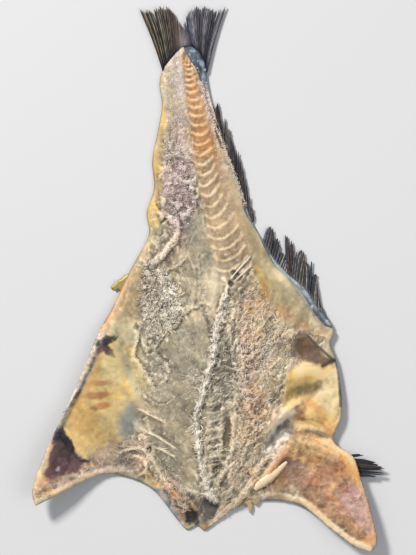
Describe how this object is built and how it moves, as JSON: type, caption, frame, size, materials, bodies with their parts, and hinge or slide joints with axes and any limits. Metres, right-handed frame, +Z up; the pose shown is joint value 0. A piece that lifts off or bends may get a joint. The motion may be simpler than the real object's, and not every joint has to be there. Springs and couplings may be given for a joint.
{
  "type": "salted dried cod",
  "caption": "Headless salted dried cod, split and opened flat with the flesh up: curled belly flaps, bared tailbone, torn lining, dark skin, tail and anal fins.",
  "frame": {"origin": "centre of the fish's bounding box in X and Y, on the surface that it lies on", "axes": "+Y from the nape to the tail, +X to the fish's right-hand flap as seen from above the flesh, +Z up, out of the flesh"},
  "size_m": [0.442, 0.684, 0.0297],
  "materials": {
    "flesh": "dried salted flesh, satin and uneven, fibrous along the torn edges",
    "skin": "dried fish skin, dark blue-grey and olive, wrinkled, slightly glossy",
    "fin": "dried fin rays, near black with paler rays, stiff and matt",
    "bone": "dried fish bone and sinew, ivory, satin",
    "salt": "coarse salt crystals, cloudy white"
  },
  "bodies": {
    "root": {"salted_cod": "flesh"}
  },
  "joints": []
}
